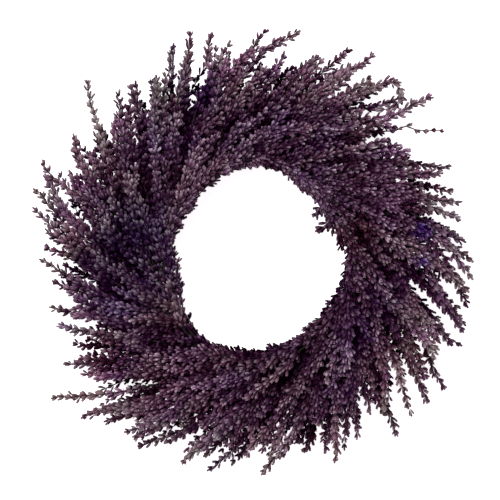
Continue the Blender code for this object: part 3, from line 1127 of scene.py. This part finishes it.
def makeRail(radius):  # a ring of wire with the swelling of its butt weld
    centre = onRing(0, radius, ring["railHeight"]) - Vector((0, radius, 0))
    bpy.ops.mesh.primitive_torus_add(
        location=centre, major_radius=radius, minor_radius=wireFrame["radius"],
        major_segments=wireFrame["segments"], minor_segments=wireFrame["sides"],
    )
    rail = bpy.context.object
    turn = math.radians(wireFrame["weldBearing"])
    weld = Vector((radius * math.sin(turn), radius * math.cos(turn), 0))
    editFaces(rail, lambda face: (face.center - weld).length < wireFrame["weldReach"])
    bpy.ops.transform.shrink_fatten(value=wireFrame["weldSwell"])
    setMode("OBJECT")
    return rail


def onRails(bearing):  # the places on the two rails at a bearing
    return [onRing(bearing, radius, ring["railHeight"]) for radius in railRadii]


def makeBar(bearing):  # a cross bar, its ends melted down on to the rails
    near, far = onRails(bearing)
    way = (far - near).normalized()
    bpy.ops.mesh.primitive_cylinder_add(
        vertices=wireFrame["sides"], radius=wireFrame["barRadius"], depth=(far - near).length,
        location=(near + far) / 2, rotation=way.to_track_quat("Z", "Y").to_euler(),
    )
    bar = bpy.context.object
    editFaces(bar, lambda face: abs(face.normal.z) > 0.9)
    inwards, outwards = (wireFrame["barRadius"] * share for share in wireFrame["barMelt"])
    bpy.ops.mesh.inset(thickness=inwards, depth=outwards)
    setMode("OBJECT")
    return bar


def makeBead(place):
    bpy.ops.mesh.primitive_uv_sphere_add(
        segments=wireFrame["beadSegments"], ring_count=wireFrame["beadRings"],
        radius=wireFrame["beadRadius"], location=place,
    )
    bead = bpy.context.object
    editFaces(bead)
    bpy.ops.transform.resize(value=(1, 1, wireFrame["beadFlat"]))
    editFaces(bead, lambda face: face.normal.z < -0.9)
    bpy.ops.transform.translate(value=(0, 0, wireFrame["beadRadius"] * wireFrame["beadFoot"]))
    setMode("OBJECT")
    return bead


def makeFrame():
    parts = [makeRail(radius) for radius in railRadii]
    for i in range(wireFrame["bars"]):
        bearing = 360 * i / wireFrame["bars"]
        parts.append(makeBar(bearing))
        parts += [makeBead(place) for place in onRails(bearing)]
    piece = joinPieces("wireFrame", parts)
    piece.data.materials.clear()
    piece.data.materials.append(finish["greenLacquer"])
    makeActive(piece)
    smoothUnder(wireFrame["sharpEdge"])
    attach(piece, "root")
    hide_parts("wire_frame")


tie = {
    "along": -0.022,
    "turns": 5,
    "width": 0.0070,
    "radius": 0.0006,
    "sides": 6,
    "loose": 0.00025,
    "twistTurns": 3.0,
    "twistSteps": 16,
    "twistLength": 0.0100,
    "twistUneven": 0.001,
    "twistLap": 0.0006,
    "twistRadius": 0.00058,
    "twistOut": (0.0040, 0.0020),
    "twistUp": (0.0018, 0.0012),
    "outline": (
        (-0.0168, 0.0008), (0.0, 0.0006), (0.0168, 0.0008), (0.0172, 0.0070), (0.0166, 0.0130),
        (0.0100, 0.0222), (0.0, 0.0236), (-0.0100, 0.0222), (-0.0166, 0.0130), (-0.0172, 0.0070),
    ),
}


def twistLine(number, half):  # one of the two ends, twisted together and bent along the bundle
    length = tie["twistLength"] + tie["twistUneven"] * half
    (outFrom, outGain), (upFrom, upGain) = tie["twistOut"], tie["twistUp"]
    line = []
    for i in range(tie["twistSteps"] + 1):
        share = i / tie["twistSteps"]
        turn = 2 * math.pi * (tie["twistTurns"] * share + half)
        along = tie["along"] + tie["width"] / 2 + length * share - tie["twistLap"]
        out = outFrom + outGain * share ** 2 + tie["twistRadius"] * math.cos(turn)
        up = upFrom + upGain * share + tie["twistRadius"] * math.sin(turn)
        line.append((byStems(number, along, out, up), 1.0))
    return line


def makeTie(number):
    outline = tie["outline"]
    line = []
    count = tie["turns"] * len(outline)
    for i in range(count + 1):
        out, height = outline[i % len(outline)]
        along = tie["along"] + tie["width"] * (i / count - 0.5) + draw.uniform(-1, 1) * tie["loose"]
        line.append((byStems(number, along, out, height), 1.0))
    lines = [line, twistLine(number, 0), twistLine(number, 0.5)]
    name = f"tie{number + 1:02d}"
    piece = wireMesh(name, lines, tie["radius"], tie["sides"], finish["bindingWire"])
    piece.data.name = piece.name
    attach(piece, "root")
    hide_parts(f"tie_{number + 1:02d}")


makeFrame()
for number in range(ring["bunches"]):
    makeTie(number)
print("frame and ties made")

# Floor, light and camera

studio = {
    "floorSize": 12.0,
    "floorPlace": (0, 0, -0.0006),
    "floorColour": (0.95, 0.95, 0.95),
    "floorGlow": 0.90,
    "roughness": 0.9,
    "gloss": 0.0,
    "worldColour": (1.0, 0.60, 0.90),
    "worldStrength": 0.25,
    "lampPower": 51.5,
    "lampSize": 1.5,
    "lampPlace": (-0.7, 0.8, 2.0),
}


def makeStudio():
    bpy.ops.mesh.primitive_plane_add(size=studio["floorSize"], location=studio["floorPlace"])
    floor = bpy.context.object
    floor.name = "floor"
    material, _, shader = newMaterial("paleFloor", studio)
    setInputs(shader, {
        "Base Color": (*studio["floorColour"], 1),
        "Emission Color": (1, 1, 1, 1),
        "Emission Strength": studio["floorGlow"],
    })
    floor.data.materials.append(material)
    world = bpy.data.worlds.new("studio")
    world.use_nodes = True
    sky = world.node_tree.nodes["Background"]
    colour = (*studio["worldColour"], 1)
    setInputs(sky, {"Color": colour, "Strength": studio["worldStrength"]})
    bpy.context.scene.world = world
    lamp = addObject("softbox", bpy.data.lights.new("softbox", "AREA"))
    lamp.data.energy = studio["lampPower"]
    lamp.data.size = studio["lampSize"]
    lamp.location = studio["lampPlace"]
    lamp.rotation_euler = (-Vector(studio["lampPlace"])).to_track_quat("-Z", "Y").to_euler()
    bpy.context.scene.view_settings.view_transform = "Standard"


view = {"lens": 135.0, "distance": 2.12, "aim": (-0.0022, 0.0017, 0.040), "farthest": 20}


def makeCamera():
    camera = addObject("camera", bpy.data.cameras.new("camera"))
    camera.data.lens = view["lens"]
    camera.data.clip_end = view["farthest"]
    camera.location = Vector(view["aim"]) + Vector((0, 0, view["distance"]))
    bpy.context.scene.camera = camera


makeStudio()
makeCamera()
print("studio and camera made")
